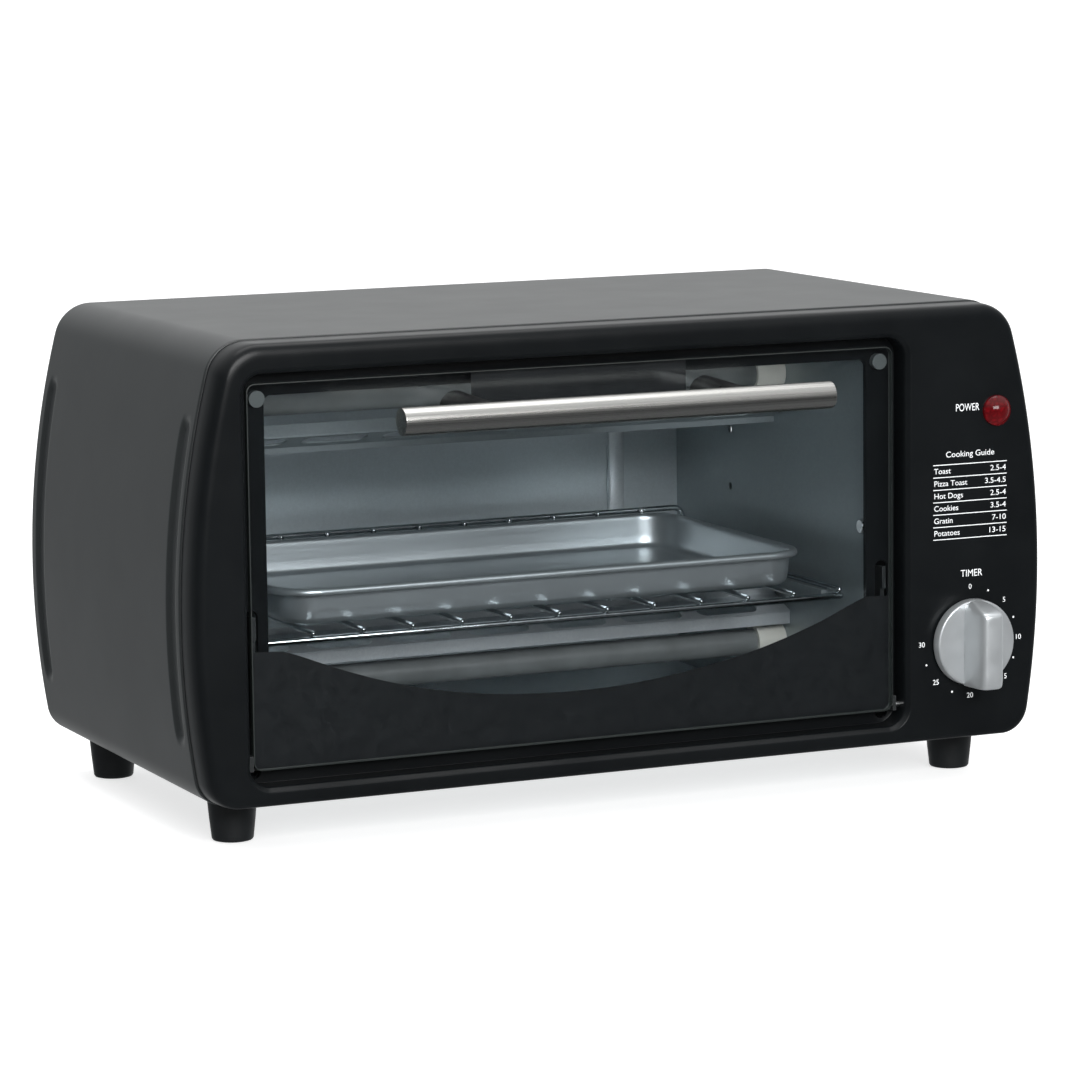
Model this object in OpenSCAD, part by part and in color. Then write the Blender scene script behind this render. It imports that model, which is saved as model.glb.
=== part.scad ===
// Countertop toaster oven with a glass drop-down door, a wire rack, a baking
// tray and a 30 minute mechanical timer, built as separate pieces.
// Millimetres, +Z up, +Y towards the back, front of the oven faces -Y.
// Origin: centre of the whole oven in plan, at the underside of the feet.

/* [Body] */
// Width of the casing at its widest height
body_width = 370.6; // [340:0.2:420]
// Height of the casing top above the table
body_top = 196.5; // [180:0.5:230]
// Height of the casing underside above the table
body_bottom = 17.3; // [14:0.1:24]
// Depth of the casing from the front panel seam to its rear edge
casing_depth = 183; // [160:1:230]
// Radius of the bulged side walls
side_radius = 375; // [300:5:600]
// Height at which the sides are widest
bulge_height = 88; // [70:1:120]
// Thickness of the sheet steel casing
sheet = 1.0; // [0.6:0.1:1.6]

/* [Door] */
// Width of the door glass
glass_width = 277.5; // [240:0.5:300]
// Height of the door glass
glass_height = 149; // [120:0.5:160]
// Thickness of the door glass
glass_thickness = 3.0; // [3:0.5:5]
// Height of the lower edge of the glass above the table
glass_bottom = 31.4; // [28:0.1:40]
// Sideways position of the middle of the door and the cavity
door_x = -21.4; // [-30:0.1:-10]
// Length of the handle bar
handle_length = 182; // [140:1:220]
// Diameter of the handle bar
handle_diameter = 10.8; // [8:0.2:16]
// Distance from the glass to the middle of the handle bar
handle_reach = 37; // [28:0.5:45]

/* [Cavity] */
// Inside width of the cooking cavity
cavity_width = 265; // [230:1:275]
// Inside height of the cooking cavity
cavity_height = 156; // [130:1:158]
// Inside depth of the cooking cavity
cavity_depth = 179.5; // [150:0.5:180]
// Outer diameter of the heater tubes
tube_diameter = 11; // [8:0.5:13]

/* [Rack and tray] */
// Spacing of the rack wires
rack_pitch = 21; // [15:0.5:25]
// Front to back length of the rack
rack_depth = 148; // [120:1:155]
// Width of the baking tray over its rim
tray_width = 231; // [200:1:240]
// Depth of the baking tray over its rim
tray_depth = 134; // [110:1:140]
// Height of the baking tray
tray_height = 15; // [10:0.5:25]

/* [Controls] */
// Diameter of the timer knob
knob_diameter = 35.6; // [32:0.2:45]
// Diameter of the power lamp lens
lamp_diameter = 12.6; // [8:0.2:16]

/* [Hidden] */
// Every y below is counted from the outer face of the door glass and moved
// by glass_shift, so that the oven is centred front to back.
casing_y0 = 10;
casing_y1 = casing_y0 + casing_depth;
gland_y1 = casing_y1 + 3;
glass_shift = (handle_reach + handle_diameter / 2 - gland_y1) / 2;
face_y = -5;
top_corner = 16;
bottom_corner = 12;
fine = 96;

// side wall arc: centres at x = -/+ arc_x
half_width = body_width / 2;
arc_x = side_radius - half_width;
function corner_x(z, r, inset) =
    sqrt(pow(side_radius - inset - r, 2) - pow(z - bulge_height, 2)) - arc_x;
function tangent_z(z, r, inset) =
    bulge_height + (z - bulge_height) * (side_radius - inset) / (side_radius - inset - r);

// door pocket and opening
glass_x0 = door_x - glass_width / 2;
glass_x1 = door_x + glass_width / 2;
glass_top = glass_bottom + glass_height;
pocket_x0 = glass_x0 - 2.6;
pocket_x1 = glass_x1 + 3.8;
pocket_z0 = glass_bottom - 5.8;
pocket_z1 = glass_top + 3.9;
lip_y0 = 6;
lip_y1 = 8;
open_x0 = door_x - 129.5;
open_x1 = door_x + 129.5;
open_z0 = 42;
open_z1 = 175;
wall = 2.2;

// hinge line and the quadrant arms that hold the door
hinge_y = 2;
hinge_z = glass_bottom + 2.1;
pin_r = 1.5;
arm_r0 = 48;
arm_r1 = 57;
arm_thick = 1.5;
arm_x = [glass_x0 + 1.6, glass_x1 - 3.1];
slot_x = [glass_x0 - 0.4, glass_x1 - 4.9];
slot_w = 5.3;
slot_z1 = 92.6;

// cavity
cav_x0 = door_x - cavity_width / 2;
cav_x1 = door_x + cavity_width / 2;
cav_y0 = 8.2;
cav_y1 = 7 + cavity_depth;
cav_z0 = 24;
cav_z1 = cav_z0 + cavity_height;
liner = 0.8;
// front flanges of the side walls, above the slots for the door arms
flange = 8.6;
flange_z0 = 97;
flange_z1 = 176;
panel_screw_at = [for (s = [-1, 1], z = [104, 169]) [door_x + s * 137.2, z]];

// heaters and guards
heater_y = 88;
lower_heater_z = 48.5;
upper_heater_z = 162.5;
ceramic_len = 13;
slot_pitch = 35;
guard_gap = 0.1;
guard_slots = 7;

// rack and tray
rack_x = door_x + 0.4;
rack_bays = 12;
rack_half = rack_pitch * rack_bays / 2;
rack_y0 = 24;
rack_y1 = rack_y0 + rack_depth;
rail_z = 76.4;
wire_r = 1.1;
frame_r = 1.4;
side_r = 1.25;
bend_r = 5;
side_rail_z = rail_z + frame_r + side_r + 0.02;
backstop_z = 95.8;
ledge_top = side_rail_z - side_r - 0.1;
ledge_y0 = rack_y0 + 9;
tray_z = rail_z + frame_r + 2 * wire_r + 0.3;
tray_x = door_x + 0.6;
tray_y0 = 28;

// handle
standoff_dx = 53.5;
handle_z = 167;
standoff_r = 6.4;
screw_hole_r = 2.1;

// timer and lamp
knob_x = 150.4;
knob_z = 58.2;
knob_back = face_y - 1;
knob_front = -25.4;
shaft_r = 3;
lamp_x = 162.4;
lamp_z = 152.4;

// feet
foot_x = 159.2;
foot_y = [28, 170.6];
foot_top_r = 9.9;
foot_bottom_r = 8.3;
base_sheet_z = body_bottom + sheet + 0.1;
gland_x = 140;
gland_z = 48;

// ---- helpers ----
module placed() translate([0, glass_shift, 0]) children();
module box(x0, x1, y0, y1, z0, z1)
    translate([x0, y0, z0]) cube([x1 - x0, y1 - y0, z1 - z0]);
module rod_x(x0, x1, y, z, r, n = 48)
    translate([x0, y, z]) rotate([0, 90, 0]) cylinder(h = x1 - x0, r = r, $fn = n);
module rod_y(y0, y1, x, z, r, r2 = -1, n = 48)
    translate([x, y0, z]) rotate([-90, 0, 0])
        cylinder(h = y1 - y0, r1 = r, r2 = r2 < 0 ? r : r2, $fn = n);
module rod_z(z0, z1, x, y, r, r2 = -1, n = 48)
    translate([x, y, z0]) cylinder(h = z1 - z0, r1 = r, r2 = r2 < 0 ? r : r2, $fn = n);
// extrudes a shape drawn in x and z from y0 back to y1
module slab(y0, y1)
    translate([0, y1, 0]) rotate([90, 0, 0]) linear_extrude(height = y1 - y0) children();
// extrudes a shape drawn in y and z along x
module along_x(x0, x1)
    translate([x0, 0, 0]) rotate([90, 0, 90]) linear_extrude(height = x1 - x0) children();
module rrect(x0, x1, z0, z1, r, n = 48) {
    translate([x0 + r, z0]) square([x1 - x0 - 2 * r, z1 - z0]);
    translate([x0, z0 + r]) square([x1 - x0, z1 - z0 - 2 * r]);
    for (x = [x0 + r, x1 - r], z = [z0 + r, z1 - r])
        translate([x, z]) circle(r = r, $fn = n);
}
// outline of the body with bulged sides, drawn inset from the outer skin
module body_outline(inset = 0, top = 0, bottom = 0, rt = top_corner, rb = bottom_corner) {
    zt = body_top - top;
    zb = body_bottom + bottom;
    xt = corner_x(zt - rt, rt, inset);
    xb = corner_x(zb + rb, rb, inset);
    intersection() {
        translate([-arc_x, bulge_height]) circle(r = side_radius - inset, $fn = 540);
        translate([arc_x, bulge_height]) circle(r = side_radius - inset, $fn = 540);
        translate([-half_width, tangent_z(zb + rb, rb, inset)])
            square([body_width, tangent_z(zt - rt, rt, inset) - tangent_z(zb + rb, rb, inset)]);
    }
    for (s = [-1, 1]) {
        translate([s * xt, zt - rt]) circle(r = rt, $fn = fine);
        translate([s * xb, zb + rb]) circle(r = rb, $fn = fine);
    }
    translate([-xt, bulge_height]) square([2 * xt, zt - bulge_height]);
    translate([-xb, zb]) square([2 * xb, bulge_height - zb]);
}
module shell_outline(inset) body_outline(inset, inset, inset, top_corner - inset, bottom_corner - inset);
// pan head screw along -y (head at the back), with its shank reaching forward
module screw_y(x, y, z, head_r, head_h, shank_r, shank_l) {
    rod_y(y, y + head_h, x, z, head_r, head_r * 0.8);
    rod_y(y - shank_l, y + 0.01, x, z, shank_r);
}
// pan head screw pointing up
module screw_up(x, y, z, head_r, head_h, shank_r, shank_l) {
    rod_z(z - head_h, z, x, y, head_r * 0.8, head_r);
    rod_z(z - 0.01, z + shank_l, x, y, shank_r);
}

// ---- outer body ----
rear_screw_at = [[-150, 186], [0, 190.5], [150, 186], [-176.6, 60], [176.6, 60]];
base_screw_at = [[-164, 60], [-164, 140], [164, 60], [164, 140]];
groove_y = [21, 182];
// band along both bulged sides, from radius r0 to r1 and w wide
module side_band(y, w, r0, r1)
    for (s = [0, 1]) mirror([s, 0, 0])
        translate([-arc_x, y, bulge_height]) rotate([90, 0, 0]) rotate([0, 0, -7.6])
            rotate_extrude(angle = 20.6, $fn = 540)
                translate([r0, -w / 2]) square([r1 - r0, w]);
module casing() color("#3a3f41") placed() {
    difference() {
        union() {
            difference() {
                slab(casing_y0, casing_y1) shell_outline(0);
                slab(casing_y0 - 1, casing_y1 + 1) shell_outline(sheet);
                // the base plate closes the underside between the side flanges
                box(-148, 148, casing_y0 - 1, casing_y1 + 1, body_bottom - 1, body_bottom + sheet + 1);
            }
            // back of the pressed grooves in the sides
            for (y = groove_y) side_band(y, 10, side_radius - 2.2, side_radius - 0.6);
            // rear flange that the rear panel is screwed to
            difference() {
                slab(casing_y1 - 1, casing_y1) shell_outline(0.5);
                slab(casing_y1 - 2, casing_y1 + 1) body_outline(13, 13, 13, 7, 5);
                box(-158, 158, casing_y1 - 2, casing_y1 + 1, 0, 40);
            }
        }
        for (y = groove_y) side_band(y, 8, side_radius - 1.2, side_radius + 3);
        for (p = rear_screw_at) rod_y(casing_y1 - 2, casing_y1 + 1, p[0], p[1], 1.7);
        for (p = base_screw_at) rod_z(body_bottom - 1, body_bottom + 3, p[0], p[1], 1.7);
        for (x = [-foot_x, foot_x], y = foot_y) rod_z(body_bottom - 1, body_bottom + 3, x, y, 2.2);
    }
}
// steps of the panel's rounded edge: [inset at the sides, at the top, at the bottom, front y]
edge_steps = [[0.5, 0.5, 0.4, -2], [1.1, 1.1, 0.8, -3], [2, 2.3, 1.4, -4],
    [3.6, 4.1, 2.4, -4.6], [5.5, 6.4, 3.6, face_y]];
module front_panel() color("#1f2224") placed() {
    difference() {
        union() {
            for (e = edge_steps)
                slab(e[3], e == edge_steps[0] ? casing_y0 : 5)
                    body_outline(e[0], e[1], e[2], top_corner - e[1] / 2, bottom_corner);
            // spigot inside the casing edge
            difference() {
                slab(casing_y0 - 1, casing_y0 + 5.5) shell_outline(sheet + 0.3);
                slab(casing_y0 - 2, casing_y0 + 7) shell_outline(sheet + 2.1);
                // clears the base plate
                box(-170, 170, casing_y0 + 0.1, casing_y0 + 7, 0, base_sheet_z + sheet + 0.4);
            }
        }
        // hollow behind the face, around the door pocket
        difference() {
            slab(face_y + 2.6, casing_y0 + 0.5)
                body_outline(8.2, 5.2, 4.2, top_corner - 3, bottom_corner - 2);
            slab(face_y, lip_y1) rrect(pocket_x0 - wall, pocket_x1 + wall,
                pocket_z0 - wall, pocket_z1 + wall, 8 + wall);
        }
        // door pocket with an eased edge
        slab(face_y - 1, lip_y0) rrect(pocket_x0, pocket_x1, pocket_z0, pocket_z1, 8);
        for (e = [[1.9, 0.7], [0.8, 1.7]]) slab(face_y - 1, face_y + e[1])
            rrect(pocket_x0 - e[0], pocket_x1 + e[0], pocket_z0 - e[0], pocket_z1 + e[0], 8 + e[0]);
        // opening into the cavity
        slab(lip_y0 - 1, lip_y1 + 1) rrect(open_x0, open_x1, open_z0, open_z1, 3);
        // slots for the door arms
        for (x = slot_x) slab(lip_y0 - 1, lip_y1 + 1) rrect(x, x + slot_w, pocket_z0 + 2, slot_z1, 2.5);
        // hinge pin holes
        rod_x(pocket_x0 - wall - 1, pocket_x0 + 1, hinge_y, hinge_z, pin_r + 0.06);
        rod_x(pocket_x1 - 1, pocket_x1 + wall + 1, hinge_y, hinge_z, pin_r + 0.06);
        // control holes
        rod_y(face_y - 1, 3, knob_x, knob_z, shaft_r + 2);
        for (s = [-1, 1]) {
            rod_y(face_y - 1, 3, knob_x + s * 13, knob_z, 1.7);
            rod_y(face_y - 1, face_y + 1.1, knob_x + s * 13, knob_z, 3.1);
        }
        rod_y(face_y - 1, 3, lamp_x, lamp_z, 5.1);
        // blind screw holes in the lip
        for (p = panel_screw_at) rod_y(lip_y0 + 0.5, lip_y1 + 1, p[0], p[1], 1.25);
    }
}
module panel_screws() color("#b9bcbd") placed()
    for (p = panel_screw_at) screw_y(p[0], cav_y0 + liner + 0.02, p[1], 2.8, 1.6, 1.2, 2.4);
module rear_panel() color("#8d9396") placed() {
    y0 = casing_y1 - 2.2;
    difference() {
        slab(y0, y0 + 1) shell_outline(sheet + 0.4);
        // vent slots
        for (i = [0 : 11]) slab(y0 - 1, y0 + 2)
            rrect(-66 + i * 12 - 2, -66 + i * 12 + 2, 140, 168, 1.9, 24);
        for (i = [0 : 5]) slab(y0 - 1, y0 + 2)
            rrect(124 + i * 9 - 1.8, 124 + i * 9 + 1.8, 118, 146, 1.7, 24);
        rod_y(y0 - 1, y0 + 2, gland_x, gland_z, 6.1);
        for (p = rear_screw_at) rod_y(y0 - 1, y0 + 2, p[0], p[1], 1.35);
    }
}
module base_plate() color("#8d9396") placed()
    difference() {
        box(-168, 168, casing_y0 + 0.3, casing_y1 - 2.4, base_sheet_z, base_sheet_z + sheet);
        for (i = [0 : 7], y = [56, 142]) translate([0, 0, base_sheet_z - 1])
            linear_extrude(height = sheet + 2)
                rrect(-104 + i * 24 - 7, -104 + i * 24 + 7, y - 1.8, y + 1.8, 1.7, 24);
        for (i = [0 : 3]) translate([0, 0, base_sheet_z - 1])
            linear_extrude(height = sheet + 2)
                rrect(126, 146, 84 + i * 9 - 1.8, 84 + i * 9 + 1.8, 1.7, 24);
        for (x = [-foot_x, foot_x], y = foot_y)
            rod_z(base_sheet_z - 1, base_sheet_z + 3, x, y, 2.2);
        for (p = base_screw_at) rod_z(base_sheet_z - 1, base_sheet_z + 3, p[0], p[1], 1.35);
    }
module rear_screws() color("#b9bcbd") placed()
    for (p = rear_screw_at) screw_y(p[0], casing_y1 + 0.02, p[1], 3, 1.6, 1.3, 7);
module base_screws() color("#b9bcbd") placed()
    for (p = base_screw_at) screw_up(p[0], p[1], body_bottom - 0.02, 3, 1.6, 1.3, 7);
module feet() color("#151617") placed()
    for (x = [-foot_x, foot_x], y = foot_y) difference() {
        union() {
            rod_z(1.2, body_bottom - 0.05, x, y, foot_bottom_r, foot_top_r, fine);
            rod_z(0, 1.21, x, y, foot_bottom_r - 1, foot_bottom_r, fine);
        }
        rod_z(-1, 9, x, y, 4.6);
        rod_z(8, body_bottom + 1, x, y, 2.2);
    }
module foot_screws() color("#b9bcbd") placed()
    for (x = [-foot_x, foot_x], y = foot_y) {
        screw_up(x, y, 8.95, 4.2, 2.4, 1.95, 13);
        // nut above the base plate
        difference() {
            rod_z(base_sheet_z + sheet + 0.02, base_sheet_z + sheet + 3, x, y, 4, 4, 6);
            rod_z(base_sheet_z, base_sheet_z + sheet + 4, x, y, 1.9);
        }
    }
module cord_gland() color("#151617") placed() {
    y0 = casing_y1 - 2.2;
    difference() {
        union() {
            rod_y(y0 - 8, y0 + 3.3, gland_x, gland_z, 5.9);
            rod_y(y0 + 1.05, gland_y1, gland_x, gland_z, 9.5, 8.4);
            rod_y(y0 - 3, y0 - 0.05, gland_x, gland_z, 7.2);
        }
        rod_y(y0 - 9, gland_y1 + 1, gland_x, gland_z, 3.7);
    }
}

// ---- cavity ----
rear_rib_x = [-102.5, 102.5];
module cavity_wrap() color("#a4aaab") placed()
    difference() {
        union() {
            box(cav_x0, cav_x1, cav_y0, cav_y1, cav_z1, cav_z1 + liner);
            box(cav_x0, cav_x1, cav_y0, cav_y1, cav_z0 - liner, cav_z0);
            box(cav_x0, cav_x1, cav_y1, cav_y1 + liner, cav_z0 - liner, cav_z1 + liner);
            for (x = rear_rib_x) rear_rib(door_x + x, 4.2, cav_y1 - 1.5, cav_y1 + 0.1);
        }
        for (x = rear_rib_x) rear_rib(door_x + x, 3.4, cav_y1 - 0.7, cav_y1 + 2);
    }
// pressed upright rib in the back of the cavity
module rear_rib(x, half, y0, y1)
    slab(y0, y1) rrect(x - half, x + half, cav_z0 + 24, cav_z1 - 12, half - 0.05, 32);
module wall_holes(x) {
    for (z = [lower_heater_z, upper_heater_z]) rod_x(x - 3, x + 3, heater_y, z, 4.3);
    rod_x(x - 3, x + 3, wall_screw_y, wall_screw_z, 1.4);
    for (p = panel_screw_at) rod_y(cav_y0 - 1, cav_y0 + 2, p[0], p[1], 1.4);
}
wall_screw_y = 13.5;
wall_screw_z = 106;
module cavity_left_wall() color("#a4aaab") placed() difference() {
    union() {
        box(cav_x0 - liner, cav_x0 - 0.02, cav_y0, cav_y1 + liner, cav_z0 - liner, cav_z1 + liner);
        box(cav_x0 - 0.03, rack_x - rack_half + 3, ledge_y0, cav_y1 - 3, ledge_top - 2.4, ledge_top);
        box(cav_x0 - flange, cav_x0 - 0.5, cav_y0, cav_y0 + liner, flange_z0, flange_z1);
    }
    wall_holes(cav_x0);
}
module cavity_right_wall() color("#a4aaab") placed() difference() {
    union() {
        box(cav_x1 + 0.02, cav_x1 + liner, cav_y0, cav_y1 + liner, cav_z0 - liner, cav_z1 + liner);
        box(rack_x + rack_half - 3, cav_x1 + 0.03, ledge_y0, cav_y1 - 3, ledge_top - 2.4, ledge_top);
        box(cav_x1 + 0.5, cav_x1 + flange, cav_y0, cav_y0 + liner, flange_z0, flange_z1);
    }
    wall_holes(cav_x1);
    for (z = [108.7, 133.4]) rod_x(cav_x1 - 2, cav_x1 + 3, 134, z, 1.6);
}
module cavity_wall_screws() color("#c9ccce") placed()
    for (s = [0, 1]) translate([s * 2 * door_x, wall_screw_y, wall_screw_z]) mirror([s, 0, 0]) {
        rod_x(cav_x1 - 0.02, cav_x1 + 5, 0, 0, 1.3);
        translate([cav_x1 - 1.8, 0, 0]) rotate([0, 90, 0])
            cylinder(h = 1.8, r1 = 2.6, r2 = 3.4, $fn = 48);
    }
// bent strip with slots that shields a heater; drawn for the lower heater
guard_y = 78.4;
guard_z = 56.6;
guard_lip = 5;
guard_slope = 22;
guard_length = 16;
module guard_body() difference() {
    along_x(cav_x0 + guard_gap, cav_x1 - guard_gap) {
        translate([guard_y, guard_z]) square([liner, guard_lip]);
        translate([guard_y, guard_z + guard_lip - 0.4]) rotate(guard_slope)
            square([guard_length, liner]);
        translate([guard_y + guard_length * cos(guard_slope) - 0.9,
            guard_z + guard_lip + guard_length * sin(guard_slope) - 0.6]) square([liner, 3.2]);
    }
    for (i = [0 : guard_slots - 1])
        translate([door_x + (i - (guard_slots - 1) / 2) * slot_pitch, guard_y, guard_z + guard_lip])
            rotate([guard_slope, 0, 0]) translate([0, 0, -4])
                linear_extrude(height = 8) rrect(-14, 14, 1.6, 10.8, 4, 32);
}
module lower_heater_guard() color("#a4aaab") placed() guard_body();
module upper_heater_guard() color("#a4aaab") placed()
    translate([0, 0, lower_heater_z + upper_heater_z]) mirror([0, 0, 1]) guard_body();
module heater_pair() for (z = [lower_heater_z, upper_heater_z]) translate([0, heater_y, z]) children();
module heater_tubes() color("#9a9a94") placed() heater_pair()
    difference() {
        rod_x(cav_x0 + ceramic_len - 4, cav_x1 - ceramic_len + 4, 0, 0, tube_diameter / 2);
        rod_x(cav_x0, cav_x1, 0, 0, tube_diameter / 2 - 1.1);
    }
module heater_coils() color("#6b5a4c") placed() heater_pair() {
    rod_x(cav_x0 + ceramic_len + 3, cav_x1 - ceramic_len - 3, 0, 0, 3.2, 32);
    for (s = [-1, 1]) rod_x(s < 0 ? cav_x0 - 9 : cav_x1 - ceramic_len - 3.1,
        s < 0 ? cav_x0 + ceramic_len + 3.1 : cav_x1 + 9, 0, 0, 0.9, 24);
}
module heater_ceramics() color("#e6e0cf") placed() heater_pair() {
    for (s = [0, 1]) mirror([s, 0, 0]) translate([s * -2 * door_x, 0, 0]) difference() {
        union() {
            rod_x(cav_x1 - ceramic_len, cav_x1 - 0.1, 0, 0, 7);
            rod_x(cav_x1 - 0.2, cav_x1 + 6, 0, 0, 4.1);
        }
        rod_x(cav_x1 - ceramic_len - 1, cav_x1 - ceramic_len + 4.1, 0, 0, tube_diameter / 2 + 0.05);
        rod_x(cav_x1 - ceramic_len, cav_x1 + 7, 0, 0, 1);
    }
}
bumper_at = [[door_x - 133.3, 174.1], [door_x + 133.3 + 1.2, 174.1]];
module glass_bumpers() color("#b9c0c2") placed()
    for (p = bumper_at) rod_y(glass_thickness + 0.15, lip_y0, p[0], p[1], 3.2);

// ---- controls ----
module lamp_lens() color("#8c1016") placed() {
    translate([lamp_x, face_y - 1.2, lamp_z]) rotate([90, 0, 0]) intersection() {
        translate([0, 0, -4.4]) sphere(r = 7.7, $fn = 64);
        cylinder(h = 6, r = lamp_diameter / 2, $fn = 64);
    }
    rod_y(face_y - 1.2, face_y - 0.02, lamp_x, lamp_z, lamp_diameter / 2);
    rod_y(face_y - 0.1, 0, lamp_x, lamp_z, 5);
}
module lamp_body() color("#d8d4c6") placed() {
    rod_y(0.02, 16, lamp_x, lamp_z, 5);
    difference() {
        rod_y(-2.35, 0.4, lamp_x, lamp_z, 7);
        rod_y(-3, 1, lamp_x, lamp_z, 5.02);
    }
    for (s = [-1, 1])
        box(lamp_x + s * 2.4 - 0.4, lamp_x + s * 2.4 + 0.4, 15.9, 23, lamp_z - 1.5, lamp_z + 1.5);
}
module timer_body() color("#9ea2a2") placed()
    difference() {
        union() {
            box(knob_x - 21, knob_x + 21, -2.3, -1.1, knob_z - 19, knob_z + 19);
            box(knob_x - 19, knob_x + 19, -1.11, 28, knob_z - 17, knob_z + 17);
            rod_y(-4.6, -2.2, knob_x, knob_z, 4.9);
        }
        rod_y(-6, 9, knob_x, knob_z, shaft_r + 0.05);
        for (s = [-1, 1]) rod_y(-4, 6, knob_x + s * 13, knob_z, 1.3);
    }
module timer_screws() color("#b9bcbd") placed()
    for (s = [-1, 1]) {
        rod_y(face_y + 0.05, face_y + 1.08, knob_x + s * 13, knob_z, 2.9);
        rod_y(face_y + 1, 5, knob_x + s * 13, knob_z, 1.25);
    }
module timer_terminals() color("#c9b77a") placed()
    for (s = [-1, 1]) box(knob_x + s * 8 - 0.4, knob_x + s * 8 + 0.4, 28.02, 37, knob_z + 3, knob_z + 9.3);
module timer_shaft() color("#c9ccce") placed()
    difference() {
        rod_y(-16.5, 8.5, knob_x, knob_z, shaft_r);
        box(knob_x - 4, knob_x + 4, -17, -7.5, knob_z + 1.8, knob_z + 4);
    }
module knob_clip() color("#c9ccce") placed()
    box(knob_x - 1.9, knob_x + 1.9, -16, -8, knob_z + 1.84, knob_z + 2.4);
module timer_knob() color("#c3c7c9") placed() {
    r = knob_diameter / 2;
    difference() {
        union() {
            rod_y(knob_back - 3.4, knob_back, knob_x, knob_z, r - 0.6, r, fine);
            rod_y(knob_back - 4.6, knob_back - 3.39, knob_x, knob_z, r - 1.8, r - 0.6, fine);
            // grip across the disc, its upper end sloping down to a pointer
            intersection() {
                rod_y(knob_front - 1, knob_back - 3, knob_x, knob_z, r + 0.6, -1, fine);
                along_x(knob_x - 6, knob_x + 6) polygon([
                    [knob_back - 3, knob_z - r - 1], [knob_front + 1.5, knob_z - r - 1],
                    [knob_front, knob_z - r + 1.5], [knob_front, knob_z + r - 6],
                    [knob_front + 1.2, knob_z + r - 4], [knob_back - 4, knob_z + r + 0.6],
                    [knob_back - 3, knob_z + r + 0.6]]);
                translate([knob_x, 0, knob_z - r - 2]) linear_extrude(height = 2 * r + 4) polygon([
                    [-5.9, knob_back], [5.9, knob_back], [4.6, knob_front + 1],
                    [3.8, knob_front], [-3.8, knob_front], [-4.6, knob_front + 1]]);
            }
        }
        difference() {
            rod_y(-17, knob_back + 1, knob_x, knob_z, shaft_r + 0.04);
            box(knob_x - 4, knob_x + 4, -18, -7.6, knob_z + 2.46, knob_z + 5);
        }
        // hollow underside of the disc
        difference() {
            rod_y(knob_back - 3, knob_back + 1, knob_x, knob_z, r - 2.2);
            rod_y(knob_back - 4, knob_back + 2, knob_x, knob_z, 5.2);
        }
    }
}

// ---- door ----
module door_glass() color("#8fa3a0", 0.35) placed()
    difference() {
        slab(0, glass_thickness) {
            rrect(glass_x0, glass_x1, glass_bottom, glass_top, 5);
            translate([glass_x0, glass_bottom]) square([glass_width, 20]);
        }
        for (s = [-1, 1]) rod_y(-1, glass_thickness + 1, door_x + s * standoff_dx, handle_z, screw_hole_r);
    }
rail_y = glass_thickness + 0.02;
module hinge_rail() color("#26292b") placed()
    difference() {
        union() {
            box(glass_x0 + 0.2, glass_x1 - 0.2, rail_y, rail_y + 1.78, glass_bottom, glass_bottom + 16);
            // ears beside the glass that hold the hinge pins
            for (s = [0, 1]) mirror([s, 0, 0]) translate([s * -2 * door_x, 0, 0]) {
                box(glass_x1 + 0.1, glass_x1 + 1.5, 0.2, rail_y + 1.78, glass_bottom, glass_bottom + 6);
                box(glass_x1 - 0.21, glass_x1 + 1.5, rail_y, rail_y + 1.78, glass_bottom, glass_bottom + 6);
            }
        }
        rod_x(glass_x0 - 3, glass_x0 + 0.1, hinge_y, hinge_z, pin_r + 0.02);
        rod_x(glass_x1 - 0.1, glass_x1 + 3, hinge_y, hinge_z, pin_r + 0.02);
    }
module hinge_pins() color("#d2d5d6") placed() {
    rod_x(pocket_x0 - wall + 0.2, glass_x0 - 0.05, hinge_y, hinge_z, pin_r);
    rod_x(glass_x1 + 0.05, pocket_x1 + wall - 0.2, hinge_y, hinge_z, pin_r);
}
module quadrant() {
    intersection() {
        difference() {
            circle(r = arm_r1, $fn = 180);
            circle(r = arm_r0, $fn = 180);
        }
        polygon([[0, 0], [120, 12], [120, 120], [3, 120]]);
    }
    translate([glass_thickness + 1.85 - hinge_y, -1.5]) square([5, arm_r1 - 1.2]);
}
module door_arms() color("#b3b7b8") placed()
    for (x = arm_x) translate([0, hinge_y, hinge_z]) along_x(x, x + arm_thick) quadrant();
module handle_bar() color("#c8c3bb") placed()
    difference() {
        rod_x(door_x - handle_length / 2, door_x + handle_length / 2, -handle_reach, handle_z,
            handle_diameter / 2, fine);
        for (s = [-1, 1])
            rod_y(-handle_reach + 1, -handle_reach + handle_diameter,
                door_x + s * standoff_dx, handle_z, 1.5);
    }
module handle_standoffs() color("#17181a") placed()
    for (s = [-1, 1]) difference() {
        rod_y(-handle_reach, -0.02, door_x + s * standoff_dx, handle_z, standoff_r - 1.4, standoff_r);
        rod_y(-handle_reach - 8, 1, door_x + s * standoff_dx, handle_z, screw_hole_r);
        rod_x(door_x - handle_length, door_x + handle_length, -handle_reach, handle_z,
            handle_diameter / 2 + 0.02, fine);
        box(-200, 200, -handle_reach - 8, -handle_reach, 150, 190);
    }
module handle_screws() color("#b9bcbd") placed()
    for (s = [-1, 1])
        screw_y(door_x + s * standoff_dx, glass_thickness + 0.02, handle_z, 4, 1.8, 1.45,
            glass_thickness + handle_reach - 1);

// ---- rack and tray ----
function wire_x(i) = rack_x - rack_half + i * rack_pitch;
// quarter bend of a wire in plan, from +x round to +y
module elbow(bend, r) rotate_extrude(angle = 90, $fn = 96) translate([bend, 0]) circle(r = r, $fn = 32);
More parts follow.
